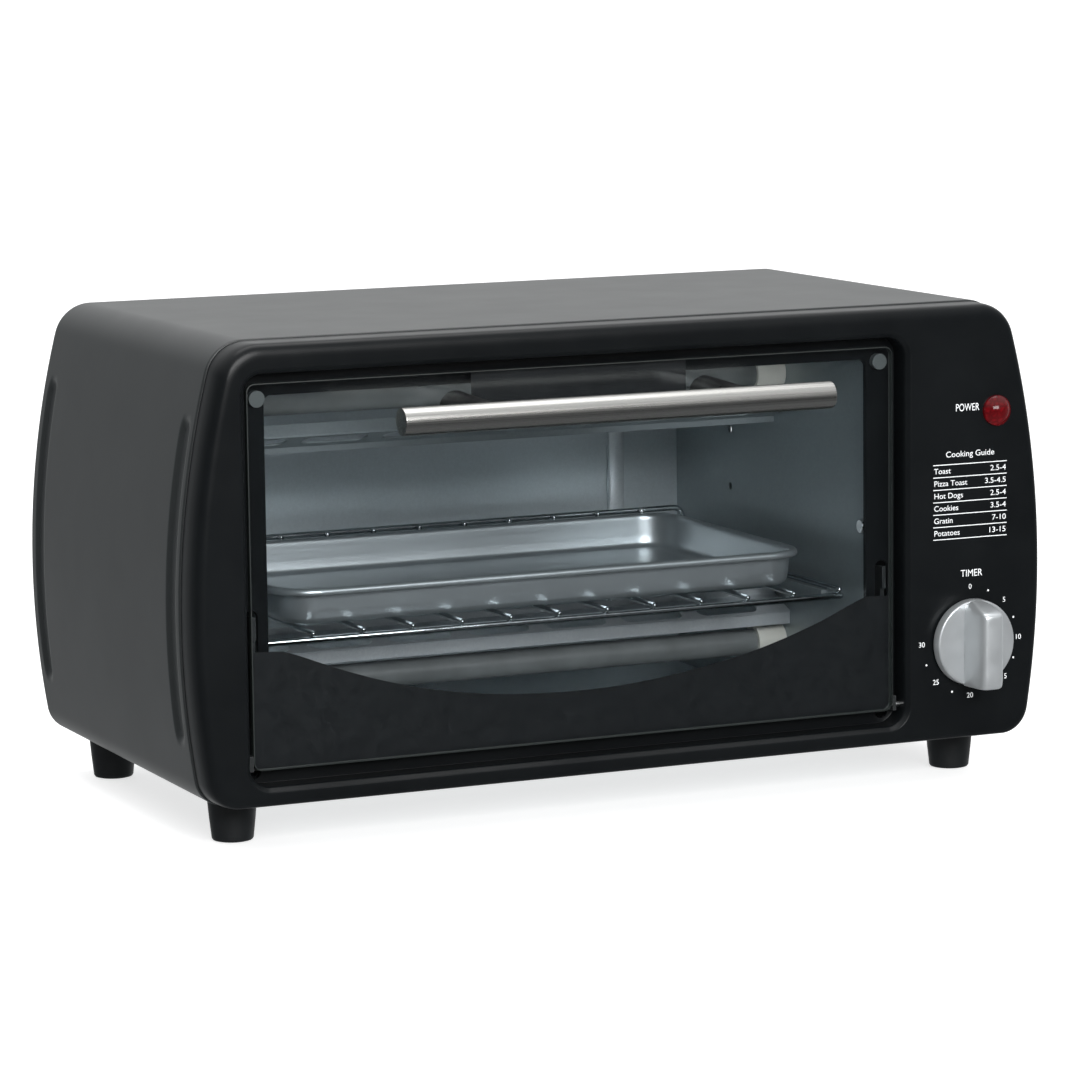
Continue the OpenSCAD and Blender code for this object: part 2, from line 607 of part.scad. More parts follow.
// straight front rail, and one long wire on it that forms the sides and the raised rear rail
module rack_frame() color("#d4d7d9") placed() {
    x0 = wire_x(0);
    x1 = wire_x(rack_bays);
    y1 = rack_y1 - 3;
    rod_x(x0 - 2.4, x1 + 2.4, rack_y0, rail_z, frame_r, 32);
    for (x = [x0, x1]) {
        rod_y(rack_y0 - frame_r - 0.6, y1 - bend_r, x, side_rail_z, side_r, -1, 32);
        translate([x, y1 - bend_r, side_rail_z + bend_r]) rotate([0, 90, 0]) elbow(bend_r, side_r);
        rod_z(side_rail_z + bend_r, backstop_z - bend_r, x, y1, side_r, -1, 32);
    }
    translate([x1 - bend_r, y1, backstop_z - bend_r]) rotate([90, 0, 0]) elbow(bend_r, side_r);
    translate([x0 + bend_r, y1, backstop_z - bend_r]) rotate([90, -90, 0]) elbow(bend_r, side_r);
    rod_x(x0 + bend_r, x1 - bend_r, y1, backstop_z, side_r, 32);
}
// cross wires, lying on the rails and turned up to the backstop
module rack_wires() color("#d4d7d9") placed() {
    wz = rail_z + frame_r + wire_r + 0.01;
    turn_y = rack_y1 - 3 - frame_r - wire_r - 0.01;
    wire_bend = 3;
    for (i = [1 : rack_bays - 1]) {
        rod_y(rack_y0 - frame_r - 0.6, turn_y - wire_bend, wire_x(i), wz, wire_r, -1, 32);
        translate([wire_x(i), turn_y - wire_bend, wz + wire_bend])
            rotate([0, 90, 0]) elbow(wire_bend, wire_r);
        rod_z(wz + wire_bend, backstop_z + 1.2, wire_x(i), turn_y, wire_r, -1, 32);
    }
}
module tray_outline(g) translate([tray_x, tray_y0 + tray_depth / 2])
    rrect(-tray_width / 2 + g, tray_width / 2 - g, -tray_depth / 2 + g, tray_depth / 2 - g, 17 - g, fine);
module baking_tray() color("#c5cacc") placed() {
    rim = 4.2;
    rim_r = 1.5;
    floor_t = 0.9;
    difference() {
        union() {
            translate([0, 0, tray_z]) linear_extrude(height = tray_height - 1) tray_outline(rim);
            translate([0, 0, tray_z + tray_height - 1.6]) linear_extrude(height = 1.6) tray_outline(rim_r);
        }
        translate([0, 0, tray_z + floor_t]) linear_extrude(height = tray_height + 1)
            tray_outline(rim + floor_t);
    }
    // rolled rim
    translate([tray_x, tray_y0 + tray_depth / 2, tray_z + tray_height - rim_r]) {
        hx = tray_width / 2 - rim_r;
        hy = tray_depth / 2 - rim_r;
        c = 17 - rim_r;
        for (s = [-1, 1]) {
            rod_x(-hx + c, hx - c, s * hy, 0, rim_r, 24);
            rod_y(-hy + c, hy - c, s * hx, 0, rim_r, -1, 24);
        }
        for (q = [0 : 3]) translate([(q == 0 || q == 3 ? 1 : -1) * (hx - c), (q < 2 ? 1 : -1) * (hy - c), 0])
            rotate([0, 0, q * 90]) rotate_extrude(angle = 90, $fn = 96)
                translate([c, 0]) circle(r = rim_r, $fn = 24);
    }
}

casing();
front_panel();
rear_panel();
base_plate();
cavity_wrap();
cavity_left_wall();
cavity_right_wall();
cavity_wall_screws();
upper_heater_guard();
lower_heater_guard();
heater_tubes();
heater_coils();
heater_ceramics();
glass_bumpers();
lamp_lens();
lamp_body();
timer_body();
timer_screws();
timer_terminals();
cord_gland();
feet();
foot_screws();
rear_screws();
base_screws();
panel_screws();
door_glass();
hinge_rail();
hinge_pins();
door_arms();
handle_bar();
handle_standoffs();
handle_screws();
timer_knob();
timer_shaft();
knob_clip();
rack_frame();
rack_wires();
baking_tray();
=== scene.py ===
"""Toaster oven: the looks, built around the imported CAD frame. Metres, Z up, the door faces -Y."""
import math

import bmesh
import bpy
from mathutils import Matrix, Vector


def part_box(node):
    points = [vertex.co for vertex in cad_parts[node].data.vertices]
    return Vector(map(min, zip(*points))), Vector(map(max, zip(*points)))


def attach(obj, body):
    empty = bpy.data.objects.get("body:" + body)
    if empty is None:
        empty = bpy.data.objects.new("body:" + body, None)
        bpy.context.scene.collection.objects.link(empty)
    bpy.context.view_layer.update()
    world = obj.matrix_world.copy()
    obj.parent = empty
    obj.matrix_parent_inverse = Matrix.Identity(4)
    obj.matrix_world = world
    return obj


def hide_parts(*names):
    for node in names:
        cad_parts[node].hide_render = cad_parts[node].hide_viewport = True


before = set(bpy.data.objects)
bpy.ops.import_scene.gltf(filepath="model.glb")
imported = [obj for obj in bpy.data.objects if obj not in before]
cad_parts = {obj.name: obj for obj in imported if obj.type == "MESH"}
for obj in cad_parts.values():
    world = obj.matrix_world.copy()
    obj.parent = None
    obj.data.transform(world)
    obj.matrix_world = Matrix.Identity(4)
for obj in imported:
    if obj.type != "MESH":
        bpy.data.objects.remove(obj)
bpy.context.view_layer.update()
MM = 0.001

# ---- places read from the CAD ----
glass_lo, glass_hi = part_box("door_glass")
case_lo, case_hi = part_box("casing")
GY = glass_lo[1]  # outer face of the door glass
BODY_HALF = (case_hi[0] - case_lo[0]) / 2 / MM
TOP, BOTTOM = case_hi[2] / MM, case_lo[2] / MM
SEAM_Y, REAR_Y = (case_lo[1] - GY) / MM, (case_hi[1] - GY) / MM
SIDE_R, BULGE_Z = 375.0, 88.0
DOOR_X = (glass_lo[0] + glass_hi[0]) / 2 / MM
GX0, GX1 = glass_lo[0] / MM, glass_hi[0] / MM
GZ0, GZ1 = glass_lo[2] / MM, glass_hi[2] / MM


def centre(node):
    """Middle of a CAD node's box, in millimetres counted from the glass face in y."""
    lo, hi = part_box(node)
    c = [(a + b) / 2 for a, b in zip(lo, hi)]
    return c[0] / MM, (c[1] - GY) / MM, c[2] / MM


def P(x, y, z):
    """A point in the shared frame from millimetres, with y counted from the glass face."""
    return Vector((x * MM, GY + y * MM, z * MM))


# ---- node helpers ----
def add(nt, kind, **sockets):
    n = nt.nodes.new("ShaderNode" + kind)
    for k, v in sockets.items():
        k = k.replace("_", " ")
        if k in n.inputs:
            n.inputs[k].default_value = v
        else:
            setattr(n, k.replace(" ", "_"), v)
    return n


def material(name, color, rough, metallic=0.0, **more):
    m = bpy.data.materials.new(name)
    m.use_nodes = True
    nt = m.node_tree
    b = nt.nodes["Principled BSDF"]
    b.inputs["Base Color"].default_value = (*color, 1)
    b.inputs["Roughness"].default_value = rough
    b.inputs["Metallic"].default_value = metallic
    for k, v in more.items():
        b.inputs[k.replace("_", " ")].default_value = v
    return m, nt, b


def coords(nt, scale=(1, 1, 1)):
    tc = add(nt, "TexCoord")
    mp = add(nt, "Mapping")
    mp.inputs["Scale"].default_value = scale
    nt.links.new(tc.outputs["Object"], mp.inputs["Vector"])
    return mp.outputs["Vector"]


def noise(nt, vec, scale, detail=3.0, rough=0.55):
    n = add(nt, "TexNoise")
    n.inputs["Scale"].default_value = scale
    n.inputs["Detail"].default_value = detail
    n.inputs["Roughness"].default_value = rough
    nt.links.new(vec, n.inputs["Vector"])
    return n.outputs["Fac"]


def remap(nt, val, lo, hi, a=0.3, b=0.7):
    r = add(nt, "MapRange")
    for k, v in zip(("From Min", "From Max", "To Min", "To Max"), (a, b, lo, hi)):
        r.inputs[k].default_value = v
    nt.links.new(val, r.inputs["Value"])
    return r.outputs["Result"]


def ramp(nt, fac, stops):
    r = add(nt, "ValToRGB")
    els = r.color_ramp.elements
    while len(els) < len(stops):
        els.new(0.5)
    for e, (pos, col) in zip(els, stops):
        e.position = pos
        e.color = (*col, 1)
    nt.links.new(fac, r.inputs["Fac"])
    return r.outputs["Color"]


def bump(nt, b, height, strength, distance):
    n = add(nt, "Bump")
    n.inputs["Strength"].default_value = strength
    n.inputs["Distance"].default_value = distance
    nt.links.new(height, n.inputs["Height"])
    nt.links.new(n.outputs["Normal"], b.inputs["Normal"])


def painted_edge_highlight(nt, radius=0.0012):
    """1 on sharp outer edges, from the Bevel node's bent normal; used to paint a highlight along edges."""
    bev = add(nt, "Bevel")
    bev.samples = 4
    bev.inputs["Radius"].default_value = radius
    geo = add(nt, "NewGeometry")
    dot = add(nt, "VectorMath", operation="DOT_PRODUCT")
    nt.links.new(bev.outputs["Normal"], dot.inputs[0])
    nt.links.new(geo.outputs["Normal"], dot.inputs[1])
    return remap(nt, dot.outputs["Value"], 1.0, 0.0, 0.75, 0.98)


def mix_color(nt, fac, a, b):
    m = add(nt, "Mix", data_type="RGBA")
    nt.links.new(fac, m.inputs["Factor"])
    for sock, v in ((m.inputs[6], a), (m.inputs[7], b)):
        if isinstance(v, tuple):
            sock.default_value = (*v, 1)
        else:
            nt.links.new(v, sock)
    return m.outputs[2]


# ---- materials ----
def mat_black_paint():
    """Baked satin enamel on sheet steel: faint orange peel, slight cloudiness, and a thin painted highlight
    along sharp edges.
    """
    m, nt, b = material("black_enamel", (0.02, 0.021, 0.022), 0.36)
    v = coords(nt)
    cloud = noise(nt, v, 14, 4)
    grain = noise(nt, v, 1900, 2)
    col = ramp(nt, cloud, [(0.3, (0.0155, 0.018, 0.0185)), (0.7, (0.0175, 0.02, 0.0205))])
    # painted highlight: the enamel is made lighter on sharp outer edges, where light would catch
    nt.links.new(mix_color(nt, painted_edge_highlight(nt, 0.0006), col, (0.05, 0.052, 0.054)), b.inputs["Base Color"])
    nt.links.new(remap(nt, noise(nt, v, 30, 5), 0.345, 0.375), b.inputs["Roughness"])
    bump(nt, b, grain, 0.12, 0.00006)
    return m


def mat_panel_plastic():
    """Moulded satin plastic with a fine spark-eroded grain."""
    m, nt, b = material("panel_plastic", (0.0052, 0.006, 0.0068), 0.3)
    b.inputs["Specular IOR Level"].default_value = 0.19
    v = coords(nt)
    col = ramp(nt, noise(nt, v, 25, 3), [(0.3, (0.0038, 0.0046, 0.0053)), (0.7, (0.0055, 0.0066, 0.0074))])
    nt.links.new(col, b.inputs["Base Color"])
    nt.links.new(remap(nt, noise(nt, v, 90, 4), 0.28, 0.33), b.inputs["Roughness"])
    bump(nt, b, noise(nt, v, 2600, 2), 0.1, 0.00004)
    return m


def mat_zinc(name="zinc_sheet", tint=(0.66, 0.715, 0.74), rough=0.42, metallic=0.75,
             spangle=0.25, relief=0.05):
    """Aluminised sheet: a fine sparkle, soft clouds and faint rolling lines along the sheet."""
    m, nt, b = material(name, tint, rough, metallic)
    v = coords(nt)
    vor = add(nt, "TexVoronoi")
    vor.inputs["Scale"].default_value = 1300
    nt.links.new(v, vor.inputs["Vector"])
    grey = add(nt, "RGBToBW")
    nt.links.new(vor.outputs["Color"], grey.inputs[0])
    dark = tuple(c * 0.9 for c in tint)
    light = tuple(min(1, c * 1.2) for c in tint)
    base = ramp(nt, noise(nt, v, 16, 5), [(0.3, dark), (0.7, tint)])
    faint = remap(nt, grey.outputs[0], 0.0, spangle, 0.3, 0.9)
    nt.links.new(mix_color(nt, faint, base, light), b.inputs["Base Color"])
    lines = noise(nt, coords(nt, (14, 700, 700)), 1.0, 4)
    nt.links.new(remap(nt, lines, rough - 0.04, rough + 0.06), b.inputs["Roughness"])
    bump(nt, b, grey.outputs[0], relief, 0.00008)
    return m


def mat_brushed(name, color, rough, scale, strength=0.25):
    """Ground steel: long scratches, the direction set by the coordinate scale."""
    m, nt, b = material(name, color, rough, 1.0)
    v = coords(nt, scale)
    lines = noise(nt, v, 1.0, 6, 0.7)
    dark = tuple(c * 0.8 for c in color)
    nt.links.new(ramp(nt, lines, [(0.3, dark), (0.7, color)]), b.inputs["Base Color"])
    nt.links.new(remap(nt, lines, rough - 0.06, rough + 0.1), b.inputs["Roughness"])
    bump(nt, b, lines, strength, 0.00004)
    return m


def mat_plain(name, color, rough, metallic=0.0, grain=1500, depth=0.1, spread=0.12, **more):
    """A one-coloured stuff with its own cloudiness, roughness change and fine grain."""
    m, nt, b = material(name, color, rough, metallic, **more)
    v = coords(nt)
    lo = tuple(c * (1 - spread) for c in color)
    hi = tuple(min(1, c * (1 + spread)) for c in color)
    nt.links.new(ramp(nt, noise(nt, v, 80, 4), [(0.3, lo), (0.7, hi)]), b.inputs["Base Color"])
    uneven = remap(nt, noise(nt, v, 220, 3), max(0.02, rough - 0.05), rough + 0.06)
    nt.links.new(uneven, b.inputs["Roughness"])
    bump(nt, b, noise(nt, v, grain, 2), depth, 0.00005)
    return m


def mat_glass():
    """Clear float glass, faintly green: see-through, with a mirror layer on top."""
    m = bpy.data.materials.new("door_glass_clear")
    m.use_nodes = True
    nt = m.node_tree
    nt.nodes.clear()
    out = add(nt, "OutputMaterial")
    mix = add(nt, "MixShader")
    clear = add(nt, "BsdfTransparent")
    clear.inputs["Color"].default_value = (0.945, 0.958, 0.965, 1)
    shine = add(nt, "BsdfGlossy")
    shine.inputs["Color"].default_value = (0.95, 1, 0.99, 1)
    fres = add(nt, "Fresnel")
    fres.inputs["IOR"].default_value = 1.28
    smear = noise(nt, coords(nt), 9, 5)
    nt.links.new(remap(nt, smear, 0.012, 0.05), shine.inputs["Roughness"])
    nt.links.new(fres.outputs[0], mix.inputs[0])
    nt.links.new(clear.outputs[0], mix.inputs[1])
    nt.links.new(shine.outputs[0], mix.inputs[2])
    nt.links.new(mix.outputs[0], out.inputs["Surface"])
    return m


def mat_lens():
    """Red translucent lamp cap with facets, its colour painted brighter in each facet's middle and darker at
    its edges: painted light and shade on the facets.
    """
    m, nt, b = material("lamp_red", (0.16, 0.004, 0.006), 0.11)
    b.inputs["IOR"].default_value = 1.5
    b.inputs["Specular IOR Level"].default_value = 0.3
    v = coords(nt)
    vor = add(nt, "TexVoronoi", feature="DISTANCE_TO_EDGE")
    vor.inputs["Scale"].default_value = 420
    nt.links.new(v, vor.inputs["Vector"])
    # painted light and shade: each facet's middle is lighter red, its edges darker
    nt.links.new(
        ramp(nt, vor.outputs["Distance"], [(0.0, (0.06, 0.002, 0.003)), (0.35, (0.115, 0.003, 0.005))]),
        b.inputs["Base Color"],
    )
    bump(nt, b, vor.outputs["Distance"], 0.12, 0.0003)
    return m


def mat_quartz():
    """Sand-frosted quartz tube, lighter towards its lit side."""
    m, nt, b = material("quartz_tube", (0.18, 0.19, 0.19), 0.4)
    v = coords(nt)
    nt.links.new(
        ramp(nt, noise(nt, v, 45, 4), [(0.3, (0.14, 0.15, 0.15)), (0.7, (0.22, 0.235, 0.235))]),
        b.inputs["Base Color"],
    )
    nt.links.new(remap(nt, noise(nt, v, 300, 3), 0.32, 0.5), b.inputs["Roughness"])
    bump(nt, b, noise(nt, v, 2200, 2), 0.2, 0.00005)
    return m


MAT = {
    "paint": mat_black_paint(),
    "panel": mat_panel_plastic(),
    "zinc": mat_zinc(),
    # lighter copy of the zinc sheet: painted light on the lower heater guard and a painted highlight on the
    # rear ribs
    "guard": mat_zinc("lighter_zinc_painted_light", (0.8, 0.84, 0.87), 0.4, 0.55),
    # darker copy of the zinc sheet: painted shade on the cavity's right wall and the upper heater guard,
    # plain darker sheet on the rear panel and base plate
    "dark_zinc_and_painted_shade": mat_zinc("dark_zinc_and_painted_shade", (0.37, 0.415, 0.43)),
    "tray": mat_zinc("tray_aluminium", (0.56, 0.6, 0.62), 0.34, 0.85, 0.06, 0.012),
    "glass": mat_glass(),
    "print_black": mat_plain("glass_print_black", (0.005, 0.006, 0.0072), 0.4, depth=0.05),
    "print_white": mat_plain("printed_white", (0.8, 0.82, 0.83), 0.5, grain=3000, depth=0.05, spread=0.05),
    "bar": mat_brushed("handle_ground_steel", (0.5, 0.495, 0.475), 0.26, (6, 2400, 2400), 0.2),
    "bright": mat_brushed("bright_steel", (0.72, 0.74, 0.75), 0.2, (300, 300, 300), 0.1),
    "wire": mat_brushed("chromed_wire", (0.66, 0.7, 0.72), 0.16, (200, 200, 200), 0.06),
    "knob": mat_plain("silver_knob", (0.56, 0.585, 0.6), 0.38, 0.7, grain=4000, depth=0.1, spread=0.03),
    "lens": mat_lens(),
    "quartz": mat_quartz(),
    "heater": mat_plain("heater_wire", (0.2, 0.16, 0.13), 0.5, 0.7),
    "ceramic": mat_plain("ceramic_cream", (0.9, 0.88, 0.8), 0.55, spread=0.08, depth=0.2),
    "silicone": mat_plain("silicone_grey", (0.075, 0.085, 0.085), 0.45, spread=0.06),
    "glass_edge": mat_plain("glass_ground_edge", (0.014, 0.019, 0.018), 0.5, spread=0.1, depth=0.2),
    "white_plastic": mat_plain("lamp_socket_white", (0.65, 0.62, 0.54), 0.45),
    "brass": mat_plain("brass_tab", (0.62, 0.5, 0.25), 0.3, 1.0),
    "rubber": mat_plain("foot_rubber", (0.0055, 0.0068, 0.0078), 0.5, depth=0.25, grain=1200),
    "soft_black": mat_plain("standoff_plastic", (0.007, 0.0075, 0.008), 0.32, depth=0.12, grain=2200),
    "floor": mat_plain("floor_pale", (0.62, 0.62, 0.62), 0.8, spread=0.01, depth=0.02, grain=300,
                       Emission_Color=(1, 1, 1, 1), Emission_Strength=0.68),
}


# ---- mesh helpers ----
def to_object(name, bm, mat, smooth=True):
    me = bpy.data.meshes.new(name)
    bm.normal_update()
    bm.to_mesh(me)
    bm.free()
    ob = bpy.data.objects.new(name, me)
    bpy.context.scene.collection.objects.link(ob)
    for x in mat if isinstance(mat, (list, tuple)) else [mat]:
        me.materials.append(x)
    for p in me.polygons:
        p.use_smooth = smooth
    return ob


def flat_normals(ob, angle=35):
    """Keeps flat faces flat and rounded edges round."""
    w = ob.modifiers.new("normals", "WEIGHTED_NORMAL")
    w.mode = "FACE_AREA"
    w.weight = 80
    w.keep_sharp = True
    ob.data.set_sharp_from_angle(angle=math.radians(angle))


def outline(inset=0.0, top=0.0, bottom=0.0, rt=16.0, rb=12.0, n_side=48, n_corner=14, n_flat=40):
    """Closed outline of the body, counter-clockwise from the bottom centre, as (x, z) in millimetres."""
    arc_x = SIDE_R - BODY_HALF
    zt, zb = TOP - top, BOTTOM + bottom
    r = SIDE_R - inset
    xt = math.sqrt((r - rt) ** 2 - (zt - rt - BULGE_Z) ** 2) - arc_x
    xb = math.sqrt((r - rb) ** 2 - (zb + rb - BULGE_Z) ** 2) - arc_x
    at = math.atan2(zt - rt - BULGE_Z, xt + arc_x)
    ab = math.atan2(zb + rb - BULGE_Z, xb + arc_x)
    half = [(xb * i / n_flat, zb) for i in range(n_flat)]
    half += [
        (xb + rb * math.cos(a), zb + rb + rb * math.sin(a))
        for a in [-math.pi / 2 + (ab + math.pi / 2) * i / n_corner for i in range(n_corner)]
    ]
    half += [
        (-arc_x + r * math.cos(a), BULGE_Z + r * math.sin(a))
        for a in [ab + (at - ab) * i / n_side for i in range(n_side)]
    ]
    half += [
        (xt + rt * math.cos(a), zt - rt + rt * math.sin(a))
        for a in [at + (math.pi / 2 - at) * i / n_corner for i in range(n_corner)]
    ]
    half += [(xt * (1 - i / n_flat), zt) for i in range(n_flat)]
    right = half + [(0.0, zt)]
    return right + [(-x, z) for x, z in reversed(right[1:-1])]


def rrect(x0, x1, z0, z1, r, n=10, grow=0.0):
    """Rounded rectangle, counter-clockwise, as (x, z) in millimetres."""
    x0, x1, z0, z1, r = x0 - grow, x1 + grow, z0 - grow, z1 + grow, max(0.05, r + grow)
    pts = []
    for cx, cz, a0 in ((x1 - r, z0 + r, -90), (x1 - r, z1 - r, 0),
                       (x0 + r, z1 - r, 90), (x0 + r, z0 + r, 180)):
        for i in range(n + 1):
            a = math.radians(a0 + 90 * i / n)
            pts.append((cx + r * math.cos(a), cz + r * math.sin(a)))
    return pts


def ring(bm, pts, y):
    return [bm.verts.new(P(x, y, z)) for x, z in pts]


def bridge(bm, a, b):
    n = len(a)
    for i in range(n):
        j = (i + 1) % n
        bm.faces.new((a[i], a[j], b[j], b[i]))


def loops_fill(bm, *loops):
    """Fills the flat area between an outer loop and the holes in it."""
    edges = []
    for lp in loops:
        for i, v in enumerate(lp):
            e = bm.edges.get((v, lp[(i + 1) % len(lp)]))
            edges.append(e or bm.edges.new((v, lp[(i + 1) % len(lp)])))
    bmesh.ops.triangle_fill(bm, edges=edges, use_beauty=True)


def lathe(name, profile, n, axis_at, direction, mat):
    """Turned piece: profile is (radius, distance along the axis) in millimetres."""
    bm = bmesh.new()
    d = Vector(direction)
    u = d.orthogonal().normalized()
    w = d.cross(u)
    rings = []
    for r, h in profile:
        if r < 1e-6:
            rings.append([bm.verts.new(axis_at + d * h * MM)])
            continue
        rings.append(
            [
                bm.verts.new(axis_at + (d * h + u * r * math.cos(t) + w * r * math.sin(t)) * MM)
                for t in [2 * math.pi * i / n for i in range(n)]
            ]
        )
    for a, b in zip(rings, rings[1:]):
        for i in range(n):
            j = (i + 1) % n
            if len(a) == 1 and len(b) > 1:
                bm.faces.new((a[0], b[j], b[i]))
            elif len(b) == 1 and len(a) > 1:
                bm.faces.new((a[i], a[j], b[0]))
            elif len(a) > 1:
                bm.faces.new((a[i], a[j], b[j], b[i]))
    bmesh.ops.recalc_face_normals(bm, faces=bm.faces)
    ob = to_object(name, bm, mat)
    flat_normals(ob, 50)
    return ob


def tube(name, paths, r, mat, caps=True):
    """Round wires along paths of points, with domed ends."""
    bm = bmesh.new()
    n = 14
    for pts in paths:
        pts = [Vector(p) for p in pts]
        dirs = []
        for i in range(len(pts)):
            a = pts[max(0, i - 1)]
            b = pts[min(len(pts) - 1, i + 1)]
            dirs.append((b - a).normalized())
        u = dirs[0].orthogonal().normalized()
        rings = []
        stations = []
        if caps:
            for k in (90, 60, 30):
                a = math.radians(k)
                stations.append((pts[0] - dirs[0] * r * math.sin(a), dirs[0], r * math.cos(a)))
        stations += [(p, d, r) for p, d in zip(pts, dirs)]
        if caps:
            for k in (30, 60, 90):
                a = math.radians(k)
                stations.append((pts[-1] + dirs[-1] * r * math.sin(a), dirs[-1], r * math.cos(a)))
        for c, d, rr in stations:
            u = (u - d * u.dot(d)).normalized()
            w = d.cross(u)
            if rr < 1e-7:
                rings.append([bm.verts.new(c)])
            else:
                rings.append(
                    [
                        bm.verts.new(c + (u * math.cos(t) + w * math.sin(t)) * rr)
                        for t in [2 * math.pi * i / n for i in range(n)]
                    ]
                )
        for a, b in zip(rings, rings[1:]):
            for i in range(n):
                j = (i + 1) % n
                if len(a) == 1:
                    bm.faces.new((a[0], b[j], b[i]))
                elif len(b) == 1:
                    bm.faces.new((a[i], a[j], b[0]))
                else:
                    bm.faces.new((a[i], a[j], b[j], b[i]))
    bmesh.ops.recalc_face_normals(bm, faces=bm.faces)
    return to_object(name, bm, mat)


def bend(a, corner, b, r, n=6):
    """Points of a rounded corner between two straight legs."""
    u = (a - corner).normalized()
    v = (b - corner).normalized()
    p, q = corner + u * r, corner + v * r
    return [(p * (1 - t) ** 2 + corner * 2 * t * (1 - t) + q * t**2) for t in [i / n for i in range(n + 1)]]


# ---- outer body ----
POCKET = (GX0 - 2.6, GX1 + 3.8, GZ0 - 5.8, GZ1 + 3.9, 8.0)
OPEN = (DOOR_X - 129.5, DOOR_X + 129.5, 42.0, 175.0, 3.0)
SLOTS = [(GX0 - 0.4, GX0 + 4.9, 27.6, 92.6), (GX1 - 4.9, GX1 + 0.4, 27.6, 92.6)]
FACE_Y, LIP_Y = -5.0, 6.0
# the panel's rounded edge from the seam inwards: (side inset, top inset, bottom inset, y)
EDGE = [
    (2.2, 2.2, 2.2, 15.0), (1.4, 1.4, 1.4, SEAM_Y), (0.75, 0.75, 0.65, SEAM_Y - 0.05),
    (0.6, 0.6, 0.5, SEAM_Y - 0.25), (0.6, 0.6, 0.5, 5.0), (0.85, 0.65, 0.5, 1.5), (1.2, 0.7, 0.55, -0.4),
    (1.55, 0.85, 0.65, -1.8), (1.9, 1.15, 0.85, -2.8), (2.3, 1.65, 1.1, -3.5), (2.8, 2.3, 1.4, -4.05),
    (3.4, 3.1, 1.8, -4.45), (4.1, 4.1, 2.3, -4.75), (4.9, 5.2, 2.9, -4.93), (5.8, 6.4, 3.6, FACE_Y),
]


def front_panel():
    bm = bmesh.new()
    prev = None
    for s, t, b, y in EDGE:
        cur = ring(bm, outline(s, t, b, 16 - t * 0.3, 12), y)
        if prev:
            bridge(bm, prev, cur)
        prev = cur
    rim = None
    first = None
    for g, y in (
        (2.1, FACE_Y), (1.8, -4.95), (1.6, -4.8), (0.42, -3.45), (0.2, -3.1), (0.04, -2.6), (0, -2.0),
        (0, 5.6), (-0.08, 5.88), (-0.3, LIP_Y),
    ):
        cur = ring(bm, rrect(*POCKET, n=12, grow=g), y)
        if rim:
            bridge(bm, rim, cur)
        rim = cur
        first = first or cur
    loops_fill(bm, prev, first)
    holes = []
    for box, deep in [(OPEN, LIP_Y + 2)] + [((*s, 2.5), LIP_Y + 2) for s in SLOTS]:
        a = ring(bm, rrect(*box, n=8, grow=0.1), LIP_Y)
        b = ring(bm, rrect(*box, n=8, grow=0.02), LIP_Y + 0.1)
        c = ring(bm, rrect(*box, n=8), deep)
        bridge(bm, a, b)
        bridge(bm, b, c)
        holes.append(a)
    loops_fill(bm, rim, *holes)
    bmesh.ops.recalc_face_normals(bm, faces=bm.faces)
    ob = to_object("front_panel_shell", bm, MAT["panel"])
    flat_normals(ob, 40)
    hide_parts("front_panel")
    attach(ob, "oven_body")


def groove(y, z):
    """Depth of the pressed side grooves at a place on the side, in millimetres."""
    middle_z, half_length, half_width, flank, depth = 104.0, 57.0, 5.6, 3.2, 1.5
    d = 0.0
    for cy in (20.0, 181.5):
        dist = math.hypot(y - cy, max(abs(z - middle_z) - half_length, 0.0))
        t = min(1.0, max(0.0, (half_width - dist) / flank))
        d = max(d, depth * t * t * (3 - 2 * t))
    return d


def casing():
    base = outline(0, n_side=76, n_corner=16, n_flat=30)
    flat_x = 148.0
    pts = [p for p in base if not (abs(p[1] - BOTTOM) < 1e-6 and abs(p[0]) < flat_x)]
    k = max(range(len(pts)), key=lambda i: (pts[i][1] < BOTTOM + 1e-6 and pts[i][0] > 0, -pts[i][0]))
    pts = pts[k:] + pts[:k]
    pts = [(flat_x, BOTTOM)] + pts + [(-flat_x, BOTTOM)]

    def normal(i):
        a, b = pts[max(0, i - 1)], pts[min(len(pts) - 1, i + 1)]
        d = Vector((b[0] - a[0], b[1] - a[1])).normalized()
        return Vector((d.y, -d.x))

    ys = [0.0, 0.12, 0.45, 1.1]
    ys += [1.8 + 0.7 * i for i in range(32)]
    ys += [26 + 8.5 * i for i in range(17)]
    ys += [163 + 0.75 * i for i in range(25)]
    ys = [SEAM_Y + 0.25 + y for y in ys if SEAM_Y + 0.25 + y < REAR_Y - 1.6]
    rows = [(y, 0.0) for y in ys]
    rows[0] = (ys[0], 1.0)
    rows[1] = (ys[1] - 0.05, 0.45)
    rows[2] = (ys[2] - 0.1, 0.12)
    for a in range(0, 91, 15):
        t = math.radians(a)
        rows.append((REAR_Y - 1.5 + 1.5 * math.sin(t), 1.5 * (1 - math.cos(t))))
    rows.append((REAR_Y, 12.0))
    bm = bmesh.new()
    grid = []
    for y, inset in rows:
        row = []
        for i, (x, z) in enumerate(pts):
            nrm = normal(i)
            d = inset + (groove(y, z) if 35 < z < 175 else 0)
            row.append(bm.verts.new(P(x - nrm.x * d, y, z - nrm.y * d)))
        grid.append(row)
    for a, b in zip(grid, grid[1:]):
        for i in range(len(a) - 1):
            bm.faces.new((a[i], a[i + 1], b[i + 1], b[i]))
    bmesh.ops.recalc_face_normals(bm, faces=bm.faces)
    ob = to_object("casing_shell", bm, MAT["paint"])
    top = min(ob.data.polygons, key=lambda p: (p.center - P(0, 100, TOP)).length)
    if top.normal.z < 0:
        ob.data.flip_normals()
    s = ob.modifiers.new("sheet", "SOLIDIFY")
    s.thickness = 0.0009
    s.offset = -1
    s.use_even_offset = True
    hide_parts("casing")
    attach(ob, "oven_body")


